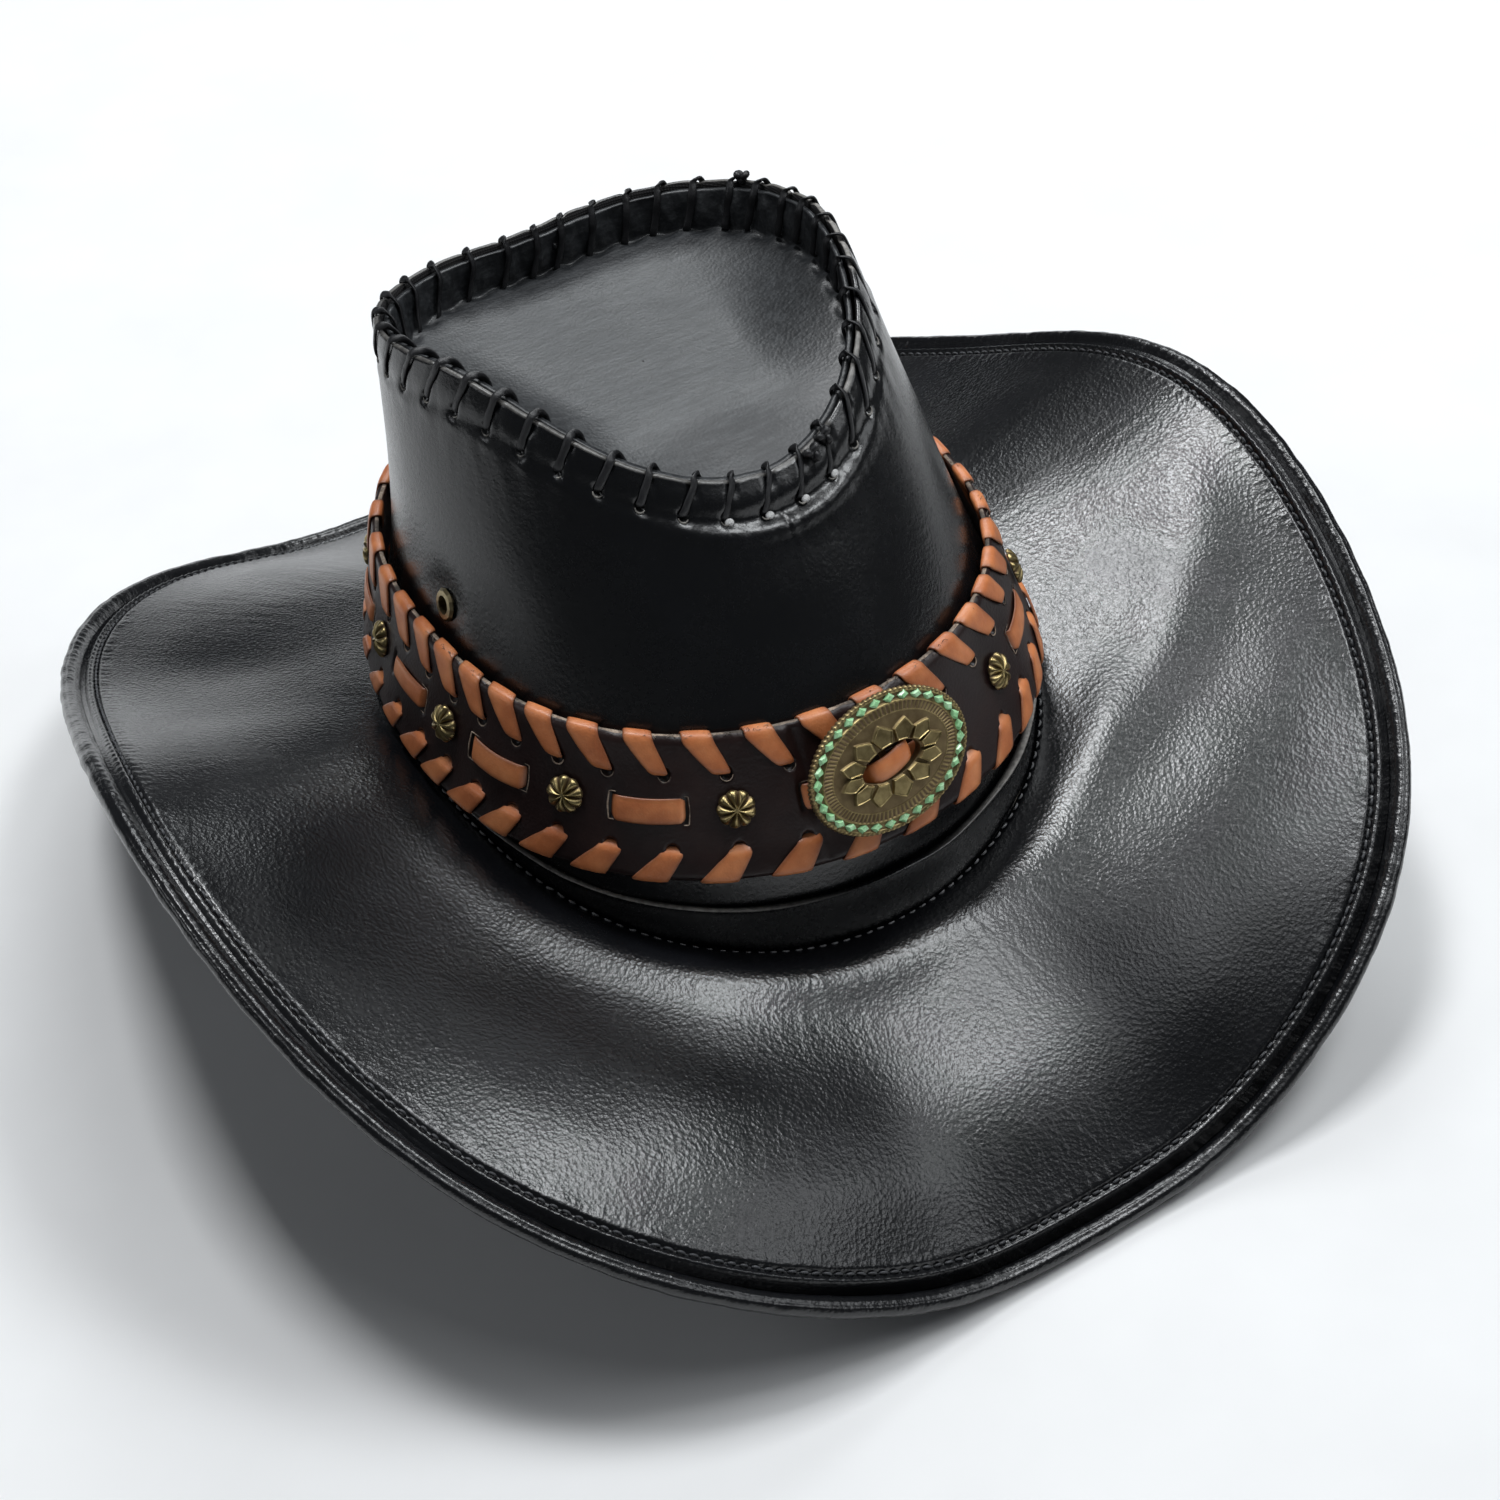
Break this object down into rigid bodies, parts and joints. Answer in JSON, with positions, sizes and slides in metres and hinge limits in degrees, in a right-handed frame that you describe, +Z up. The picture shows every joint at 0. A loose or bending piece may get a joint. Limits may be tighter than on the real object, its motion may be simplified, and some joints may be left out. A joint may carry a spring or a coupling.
{
  "type": "western hat",
  "caption": "Black leather western hat: laced crown with recessed top, rolled wired brim, and a loose laced hat band with small domed conchos and one big oval concho.",
  "frame": {"origin": "centre of the hat's bounding box at its lowest height, on the surface it stands on", "axes": "+Z up; -Y is the hat's front; +X is the wearer's left"},
  "size_m": [0.3476, 0.3796, 0.1813],
  "materials": {
    "crown_leather": "black coated leather, smooth and glossy",
    "panel_leather": "black coated leather, satin, finely grained",
    "brim_leather": "black coated leather, glossy, fine grain and pull marks",
    "black_lace": "round black lace, waxed",
    "sweatband": "dull dark leather, perforated",
    "board": "stiff felt board between the brim's two sheets",
    "lining": "black coated leather, matt",
    "wire": "drawn spring wire",
    "strap_leather": "dark brown leather, glazed, raw pale edges",
    "tan_lace": "flat tan lace, burnished",
    "antique_brass": "antique brass, dark in its hollows and bright on its edges",
    "eyelet_brass": "tarnished brass",
    "green_inlay": "pale green enamel chips"
  },
  "bodies": {
    "hat": {"crown_wall": "crown_leather", "crown_top_panel": "panel_leather", "crown_lacing": "black_lace", "crown_collar": "crown_leather", "sweatband": "sweatband", "eyelet_right": "eyelet_brass", "eyelet_washer_right": "eyelet_brass", "eyelet_left": "eyelet_brass", "eyelet_washer_left": "eyelet_brass", "brim_top": "brim_leather", "brim_interlining": "board", "brim_underside": "lining", "brim_edge_welt": "brim_leather", "brim_wire": "wire"},
    "hat_band": {"band_strap": "strap_leather", "band_top_lace": "tan_lace", "band_bottom_lace": "tan_lace", "band_centre_lace": "tan_lace", "concho_01": "antique_brass", "concho_02": "antique_brass", "concho_03": "antique_brass", "concho_04": "antique_brass", "concho_05": "antique_brass", "concho_06": "antique_brass", "concho_07": "antique_brass", "concho_08": "antique_brass", "concho_09": "antique_brass", "concho_10": "antique_brass", "concho_11": "antique_brass", "concho_12": "antique_brass"},
    "concho": {"centre_concho": "antique_brass", "concho_inlay": "green_inlay", "concho_crossbar": "antique_brass", "concho_lace": "tan_lace"}
  },
  "joints": [
    {"name": "band_lift", "type": "slide", "parent": "hat", "child": "hat_band", "axis": [0, 0, 1], "range_m": [0, 0.12]},
    {"name": "concho_swivel", "type": "hinge", "parent": "hat_band", "child": "concho", "pos_m": [0, -0.09433, 0.09574], "axis": [0, -0.8944, 0.4472], "range_deg": [-12, 12]}
  ]
}
